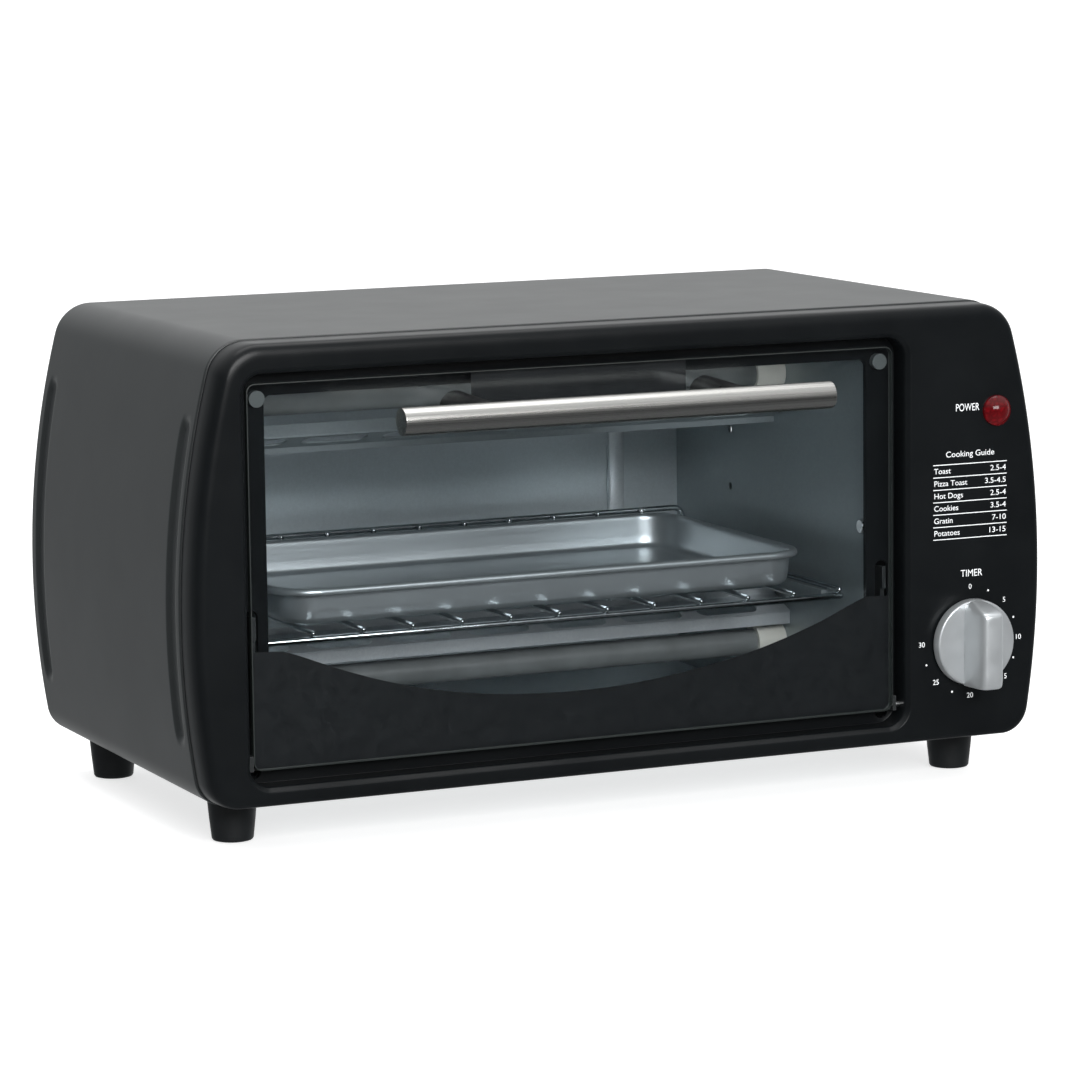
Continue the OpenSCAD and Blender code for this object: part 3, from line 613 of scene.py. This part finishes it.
def feet():
    lo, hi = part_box("feet")
    r_top = 9.9
    xs = (lo[0] / MM + r_top, hi[0] / MM - r_top)
    ys = ((lo[1] - GY) / MM + r_top, (hi[1] - GY) / MM - r_top)
    h = hi[2] / MM
    profile = [
        (4.5, 4.0), (4.6, 0.6), (5.2, 0.0), (6.9, 0.0), (7.8, 0.25), (8.2, 0.9), (8.3, 1.8),
        (9.1, 9.0), (9.75, h - 0.8), (9.6, h - 0.15), (9.2, h), (2.0, h),
    ]
    for i, x in enumerate(xs):
        for j, y in enumerate(ys):
            ob = lathe(f"foot_{i}{j}", profile, 64, P(x, y, 0), (0, 0, 1), MAT["rubber"])
            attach(ob, "oven_body")
            if not i and not j:
                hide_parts("feet")


def rear_ribs():
    """Rounded face of the two upright ribs pressed into the back of the cavity, in the lighter zinc as a
    painted highlight stripe.
    """
    lo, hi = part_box("cavity_wrap")
    back = (hi[1] - GY) / MM - 0.8
    z0, z1 = lo[2] / MM + 25.8, hi[2] / MM - 13.8
    bm = bmesh.new()
    for x in (DOOR_X - 102.5, DOOR_X + 102.5):
        cols = []
        for i in range(13):
            u = -1 + i / 6
            y = back - 0.9 - 1.1 * math.sqrt(max(0.0, 1 - u * u))
            drop = 3.6 * (1 - math.sqrt(max(0.0, 1 - u * u)))
            cols.append([bm.verts.new(P(x + 4.1 * u, y, z)) for z in (z0 + drop, z0 + 6, z1 - 6, z1 - drop)])
        for a, b in zip(cols, cols[1:]):
            for k in range(3):
                bm.faces.new((a[k], b[k], b[k + 1], a[k + 1]))
    bmesh.ops.recalc_face_normals(bm, faces=bm.faces)
    ob = to_object("cavity_rear_ribs", bm, MAT["guard"])
    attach(ob, "oven_body")


# ---- door ----
def glass_print():
    """Black enamel on the back of the glass: the swept lower band and the block behind the bar."""
    y = 3.012
    curve = [(GX0 + 0.4, 77.3), (-146.3, 76.6), (-122, 67.5), (-99.4, 60.3), (-74, 54.9), (-48.8, 51.9),
             (-22, 51.0), (3.3, 52.1), (30, 55.6), (56.7, 61.0), (83, 69.2), (106.8, 78.8), (GX1 - 0.4, 78.4)]

    def smooth(pts, n=8):
        out = [pts[0]]
        for i in range(1, len(pts) - 2):
            p0, p1, p2, p3 = (Vector(pts[k]) for k in (i - 1, i, i + 1, i + 2))
            for s in range(n):
                t = s / n
                v = 0.5 * (2 * p1 + (p2 - p0) * t + (2 * p0 - 5 * p1 + 4 * p2 - p3) * t**2
                           + (3 * p1 - p0 - 3 * p2 + p3) * t**3)
                out.append(tuple(v))
        return out + [pts[-2], pts[-1]]

    bm = bmesh.new()
    top = smooth(curve)
    upper = [bm.verts.new(P(x, y, z)) for x, z in top]
    lower = [bm.verts.new(P(x, y, GZ0 + 0.25)) for x, _ in top]
    for i in range(len(top) - 1):
        bm.faces.new((lower[i], lower[i + 1], upper[i + 1], upper[i]))
    block_x, block_half, block_z0 = -20.2, 46.2, 162.0
    block = rrect(block_x - block_half, block_x + block_half, block_z0, GZ1 - 0.2, 0.6, n=4)
    bm.faces.new([bm.verts.new(P(x, y, z)) for x, z in block])
    bmesh.ops.recalc_face_normals(bm, faces=bm.faces)
    ob = to_object("glass_print", bm, MAT["print_black"], smooth=False)
    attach(ob, "door")


def door_glass():
    """Ground and polished edges all round, corner radii at the top."""
    bm = bmesh.new()
    rings = []
    t = (glass_hi[1] - glass_lo[1]) / MM
    for g, y in ((-0.45, 0.0), (-0.12, 0.14), (0, 0.45), (0, t - 0.45), (-0.12, t - 0.14), (-0.45, t)):
        rings.append(ring(bm, rrect(GX0, GX1, GZ0, GZ1, 3.5, n=10, grow=g), y))
    for a, b in zip(rings, rings[1:]):
        bridge(bm, a, b)
    bm.faces.new(rings[0])
    bm.faces.new(list(reversed(rings[-1])))
    bmesh.ops.recalc_face_normals(bm, faces=bm.faces)
    for f in bm.faces:
        f.material_index = 0 if len(f.verts) > 4 else 1
    ob = to_object("door_pane", bm, [MAT["glass"], MAT["glass_edge"]])
    flat_normals(ob, 30)
    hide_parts("door_glass")
    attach(ob, "door")


def handle():
    lo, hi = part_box("handle_bar")
    cx, cy, cz = centre("handle_bar")
    r = (hi[2] - lo[2]) / MM / 2
    length = (hi[0] - lo[0]) / MM
    h = length / 2
    profile = [(0, -h), (r * 0.55, -h), (r - 0.45, -h), (r - 0.13, -h + 0.13), (r, -h + 0.5)]
    profile += [(r, -h + 0.5 + (length - 1) * i / 12) for i in range(1, 12)]
    profile += [(r, h - 0.5), (r - 0.13, h - 0.13), (r - 0.45, h), (r * 0.55, h), (0, h)]
    bar = lathe("handle_bar_ground", profile, 96, P(cx, cy, cz), (1, 0, 0), MAT["bar"])
    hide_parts("handle_bar")
    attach(bar, "door")
    slo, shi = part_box("handle_standoffs")
    foot_r = 6.4
    xs = (slo[0] / MM + foot_r, shi[0] / MM - foot_r)
    for i, x in enumerate(xs):
        prof = [(2.0, -0.05), (5.6, -0.05), (6.25, -0.35), (foot_r, -1.1), (6.2, -6.0), (5.9, -14.0),
                (5.6, -22.0), (5.3, -29.5), (5.1, -33.0), (4.6, -34.5), (2.0, -35.0)]
        ob = lathe(f"handle_standoff_{i}", prof, 64, P(x, 0, cz), (0, 1, 0), MAT["soft_black"])
        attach(ob, "door")
        if not i:
            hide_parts("handle_standoffs")


# ---- controls ----
def knob():
    kx, _, kz = centre("timer_shaft")
    lo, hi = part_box("timer_knob")
    back, front = (hi[1] - GY) / MM, (lo[1] - GY) / MM
    r = (hi[0] - lo[0]) / MM / 2
    dish = [(4.0, back), (r - 0.35, back), (r - 0.05, back - 0.3), (r - 0.08, back - 2.0),
            (r - 0.2, back - 3.9), (r - 0.38, back - 4.28), (r - 0.75, back - 4.45), (r - 1.4, back - 4.48),
            (0, back - 4.5)]
    disc = lathe("knob_disc", dish, 128, P(kx, 0, kz), (0, 1, 0), MAT["knob"])
    # grip: a bar across the disc with soft edges, falling away to a pointer at its upper end
    bm = bmesh.new()
    zs = [-r + 0.15, -r + 0.6, -r + 1.6, -r + 3.4, -8, 0, 7, r - 5.6, r - 4.0, r - 2.6, r - 1.3, r - 0.3]
    tops = [front + 3.0, front + 1.5, front + 0.45, front + 0.02, front, front, front, front, front + 0.6,
            front + 4.2, front + 9.0, back - 4.7]
    half = [4.5, 4.9, 5.1, 5.2, 5.2, 5.2, 5.2, 5.15, 5.0, 4.5, 3.6, 2.3]
    base = back - 3.6
    half_section = [(1.12, 0.0), (1.06, 0.3), (1.0, 0.62), (0.93, 0.86), (0.8, 0.955), (0.5, 0.99)]
    section = [(-u, v) for u, v in half_section] + [(0, 1.0)] + half_section[::-1]
    rows = []
    for z, f, h in zip(zs, tops, half):
        depth = base - f
        row = []
        for u, v in section:
            row.append(bm.verts.new(P(kx + h * u, base - depth * v, kz + z)))
        rows.append(row)
    for a, b in zip(rows, rows[1:]):
        for i in range(len(a) - 1):
            bm.faces.new((a[i], a[i + 1], b[i + 1], b[i]))
    bm.faces.new(rows[0])
    bm.faces.new(list(reversed(rows[-1])))
    bmesh.ops.recalc_face_normals(bm, faces=bm.faces)
    grip = to_object("knob_grip", bm, MAT["knob"])
    sub = grip.modifiers.new("round", "SUBSURF")
    sub.levels = sub.render_levels = 2
    for ob in (disc, grip):
        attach(ob, "timer_control")
    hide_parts("timer_knob")


def lamp():
    lx, _, lz = centre("lamp_lens")
    lo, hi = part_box("lamp_lens")
    r = (hi[0] - lo[0]) / MM / 2
    front = (lo[1] - GY) / MM
    prof = [(0, front), (1.6, front + 0.12), (3.1, front + 0.65), (4.4, front + 1.5), (5.5, front + 2.6),
            (r - 0.25, front + 3.1), (r, front + 3.5), (r, FACE_Y - 0.02), (2, FACE_Y - 0.02)]
    ob = lathe("lamp_cap", prof, 20, P(lx, 0, lz), (0, 1, 0), MAT["lens"])
    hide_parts("lamp_lens")
    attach(ob, "oven_body")


def lettering(name, text, x, z, size, align="CENTER", squeeze=1.0):
    """Printed characters as a thin mesh on the panel face."""
    c = bpy.data.curves.new(name, "FONT")
    c.body = text
    c.size = size * MM
    c.align_x = align
    c.align_y = "CENTER"
    tmp = bpy.data.objects.new(name, c)
    bpy.context.scene.collection.objects.link(tmp)
    bpy.context.view_layer.update()
    me = bpy.data.meshes.new_from_object(tmp.evaluated_get(bpy.context.evaluated_depsgraph_get()))
    bpy.data.objects.remove(tmp)
    turn = Matrix.Rotation(math.radians(90), 4, "X")
    me.transform(Matrix.Translation(P(x, FACE_Y - 0.02, z)) @ turn @ Matrix.Diagonal((squeeze, 1, 1, 1)))
    return me


def printing():
    kx, _, kz = centre("timer_shaft")
    lx, _, lz = centre("lamp_lens")
    number_r, dot_r, row_step = 22.5, 22.0, 5.08
    meshes = []
    for k in range(7):
        a = math.radians(45 * k)
        x, z = kx + number_r * math.sin(a), kz + number_r * math.cos(a)
        meshes.append(lettering("n", str(5 * k), x, z, 3.0))
    meshes.append(lettering("t", "TIMER", kx + 0.6, kz + 28.0, 4.1, squeeze=0.9))
    meshes.append(lettering("p", "POWER", lx - 13.4, lz + 1.8, 4.3, squeeze=0.74))
    gx0, gx1 = kx - 17.2, kx + 17.0
    rows = (("Toast", "2.5-4"), ("Pizza Toast", "3.5-4.5"), ("Hot Dogs", "2.5-4"), ("Cookies", "3.5-4"),
            ("Gratin", "7-10"), ("Potatoes", "13-15"))
    meshes.append(lettering("g", "Cooking Guide", (gx0 + gx1) / 2, kz + 77.2, 3.4, squeeze=1.08))
    for i, (a, b) in enumerate(rows):
        z = kz + 70.6 - i * row_step
        meshes.append(lettering("g", a, gx0 + 0.3, z, 3.2, "LEFT", 1.06))
        meshes.append(lettering("g", b, gx1 - 0.3, z, 3.2, "RIGHT", 1.14))
    bm = bmesh.new()
    for me in meshes:
        bm.from_mesh(me)
        bpy.data.meshes.remove(me)
    for i in range(7):
        z = kz + 73.2 - i * row_step
        bm.faces.new([bm.verts.new(P(x, FACE_Y - 0.02, z + dz)) for x, dz in
                      ((gx0, -0.16), (gx1, -0.16), (gx1, 0.16), (gx0, 0.16))])
    for k in range(6):
        a = math.radians(45 * k + 22.5)
        cx, cz = kx + dot_r * math.sin(a), kz + dot_r * math.cos(a)
        bm.faces.new([bm.verts.new(P(cx + 0.42 * math.cos(t), FACE_Y - 0.02, cz + 0.42 * math.sin(t)))
                      for t in [2 * math.pi * i / 14 for i in range(14)]])
    ob = to_object("panel_print", bm, MAT["print_white"], smooth=False)
    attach(ob, "oven_body")


# ---- rack and tray ----
def rack():
    lo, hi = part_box("rack_wires")
    n = 11
    r = 1.1
    x0, x1 = lo[0] / MM + r, hi[0] / MM - r
    y0, z0 = (lo[1] - GY) / MM, lo[2] / MM + r
    y1, z1 = (hi[1] - GY) / MM - r, hi[2] / MM
    paths = []
    for i in range(n):
        x = x0 + (x1 - x0) * i / (n - 1)
        corner = P(x, y1, z0)
        paths.append([P(x, y0 + r, z0), P(x, y0 + 20, z0)] + bend(P(x, y0, z0), corner, P(x, y1, z1), 3 * MM)
                     + [P(x, y1, z1 - r)])
    wires = tube("rack_cross_wires", paths, r * MM, MAT["wire"])
    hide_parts("rack_wires")
    lo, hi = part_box("rack_frame")
    rr = 1.25
    fx0, fx1 = lo[0] / MM + 2.4, hi[0] / MM - 2.4
    fy, fz = (lo[1] - GY) / MM, lo[2] / MM + 1.4
    yb, zb, zs = (hi[1] - GY) / MM - rr, hi[2] / MM - rr, lo[2] / MM + 2.8 + rr + 0.02
    side = [P(fx0, fy + rr, zs)]
    side += bend(P(fx0, 0, zs), P(fx0, yb, zs), P(fx0, yb, zb), 5 * MM)
    side += bend(P(fx0, yb, zs), P(fx0, yb, zb), P(fx1, yb, zb), 5 * MM)
    side += bend(P(fx0, yb, zb), P(fx1, yb, zb), P(fx1, yb, zs), 5 * MM)
    side += bend(P(fx1, yb, zb), P(fx1, yb, zs), P(fx1, 0, zs), 5 * MM)
    side += [P(fx1, fy + rr, zs)]
    rail_y = 24.0
    rail = [P(fx0 - 1.0, rail_y, fz), P(fx1 + 1.0, rail_y, fz)]
    fr = tube("rack_outer_frame", [side], rr * MM, MAT["wire"])
    rl = tube("rack_front_rail", [rail], 1.4 * MM, MAT["wire"])
    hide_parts("rack_frame")
    for ob in (wires, fr, rl):
        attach(ob, "rack")


def tray():
    lo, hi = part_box("baking_tray")
    x0, x1 = lo[0] / MM, hi[0] / MM
    y0, y1 = (lo[1] - GY) / MM, (hi[1] - GY) / MM
    z0, z1 = lo[2] / MM, hi[2] / MM

    def loop(bm, g, z):
        pts = rrect(x0, x1, y0, y1, 17, n=12, grow=-g)
        return [bm.verts.new(P(x, y, z)) for x, y in pts]

    h = z1 - z0
    profile = []
    for k in range(-40, 181, 20):  # rolled rim, from under its outside over the top to the inside
        a = math.radians(k)
        profile.append((1.5 - 1.5 * math.cos(a), z1 - 1.5 + 1.5 * math.sin(a)))
    profile += [(3.25, z1 - 2.6), (3.7, z0 + h * 0.45), (4.3, z0 + 3.2), (4.9, z0 + 1.9), (6.0, z0 + 1.1),
                (7.4, z0 + 0.9), (11.0, z0 + 0.9), (12.2, z0 + 1.25), (13.4, z0 + 1.6), (14.6, z0 + 1.7)]
    bm = bmesh.new()
    prev = None
    for g, z in profile:
        cur = loop(bm, g, z)
        if prev:
            bridge(bm, prev, cur)
        prev = cur
    loops_fill(bm, prev)
    bmesh.ops.recalc_face_normals(bm, faces=bm.faces)
    ob = to_object("tray_pressing", bm, MAT["tray"])
    s = ob.modifiers.new("sheet", "SOLIDIFY")
    s.thickness = 0.0006
    s.offset = 0
    flat_normals(ob, 60)
    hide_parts("baking_tray")
    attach(ob, "tray")


# ---- materials on the CAD nodes that stay ----
KEEP = {
    "rear_panel": "dark_zinc_and_painted_shade", "base_plate": "dark_zinc_and_painted_shade", "cavity_wrap": "zinc", "cavity_left_wall": "zinc",
    # the cavity's right wall and the upper heater guard take the darker zinc as painted shade
    "cavity_right_wall": "dark_zinc_and_painted_shade", "cavity_wall_screws": "bright", "upper_heater_guard": "dark_zinc_and_painted_shade",
    # the lower heater guard takes the lighter zinc as painted light
    "lower_heater_guard": "guard", "heater_tubes": "quartz", "heater_coils": "heater",
    "heater_ceramics": "ceramic", "glass_bumpers": "silicone", "lamp_body": "white_plastic",
    "timer_body": "zinc", "timer_screws": "bright", "timer_terminals": "brass", "cord_gland": "soft_black",
    "foot_screws": "bright", "rear_screws": "bright", "base_screws": "bright", "panel_screws": "bright",
    "hinge_rail": "paint", "hinge_pins": "bright", "door_arms": "paint", "handle_screws": "bright",
    "timer_shaft": "bright", "knob_clip": "bright",
}


def dress_cad():
    for node, mat in KEEP.items():
        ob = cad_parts[node]
        for s in ob.material_slots:
            s.material = MAT[mat]
        if not ob.material_slots:
            ob.data.materials.append(MAT[mat])


# ---- studio ----
def studio():
    sc = bpy.context.scene
    sc.view_settings.view_transform = "Standard"
    bm = bmesh.new()
    for x, y in ((-30, -6), (30, -6), (30, 60), (-30, 60)):
        bm.verts.new((x, y, -0.0002))
    bm.faces.new(bm.verts)
    floor = to_object("floor", bm, MAT["floor"], smooth=False)
    floor.visible_glossy = False

    w = bpy.data.worlds.new("studio")
    sc.world = w
    w.use_nodes = True
    nt = w.node_tree
    bg = nt.nodes["Background"]
    tc = add(nt, "TexCoord")
    level = add(nt, "VectorMath", operation="DOT_PRODUCT")
    level.inputs[1].default_value = (0.55, 0.83, 0)
    nt.links.new(tc.outputs["Generated"], level.inputs[0])
    walls = ramp(nt, remap(nt, level.outputs["Value"], 0, 1, -1, 1),
                 [(0.0, (0.035, 0.036, 0.038)), (0.5, (0.08, 0.083, 0.087)), (0.76, (0.25, 0.262, 0.27)),
                  (0.97, (0.78, 0.79, 0.79))])
    sep = add(nt, "SeparateXYZ")
    nt.links.new(tc.outputs["Generated"], sep.inputs[0])
    up = remap(nt, sep.outputs["Z"], 0, 1, 0.2, 0.75)
    down = remap(nt, sep.outputs["Z"], 1, 0, -0.75, -0.35)
    room = mix_color(nt, up, walls, (0.95, 0.96, 0.97))
    nt.links.new(mix_color(nt, down, room, (0.16, 0.165, 0.17)), bg.inputs["Color"])
    white = add(nt, "Background")
    white.inputs["Color"].default_value = (1, 1, 1, 1)
    lp = add(nt, "LightPath")
    mix = add(nt, "MixShader")
    nt.links.new(lp.outputs["Is Camera Ray"], mix.inputs[0])
    nt.links.new(bg.outputs[0], mix.inputs[1])
    nt.links.new(white.outputs[0], mix.inputs[2])
    nt.links.new(mix.outputs[0], nt.nodes["World Output"].inputs["Surface"])

    def softbox(name, at, aim, size, power, color=(1, 1, 1)):
        d = bpy.data.lights.new(name, "AREA")
        d.shape = "RECTANGLE"
        d.size, d.size_y = size
        d.energy = power
        d.color = color
        ob = bpy.data.objects.new(name, d)
        sc.collection.objects.link(ob)
        ob.location = at
        ob.rotation_euler = (Vector(aim) - Vector(at)).to_track_quat("-Z", "Y").to_euler()

    softbox("key_front", (-0.25, -2.1, 0.95), (0, 0, 0.1), (1.5, 0.7), 40)
    softbox("top", (0.0, 0.2, 2.2), (0, 0, 0), (2.0, 1.6), 26)


def camera():
    sc = bpy.context.scene
    cam = bpy.data.objects.new("camera", bpy.data.cameras.new("camera"))
    sc.collection.objects.link(cam)
    sc.camera = cam
    cam.data.sensor_width = 36
    cam.data.lens = 148.0
    cam.data.clip_start = 0.05
    az, el, roll = (math.radians(a) for a in (-24.18, 8.19, -0.70))
    back = Vector((math.sin(az) * math.cos(el), -math.cos(az) * math.cos(el), math.sin(el)))
    right = (-back).cross(Vector((0, 0, 1))).normalized()
    up = right.cross(-back)
    x_axis = right * math.cos(roll) + up * math.sin(roll)
    y_axis = -right * math.sin(roll) + up * math.cos(roll)
    m = Matrix((x_axis, y_axis, back)).transposed().to_4x4()
    m.translation = Vector((-0.7421, GY - 1.5652, 0.3595))
    cam.matrix_world = m


front_panel()
casing()
feet()
rear_ribs()
door_glass()
glass_print()
handle()
knob()
lamp()
printing()
rack()
tray()
dress_cad()
studio()
camera()
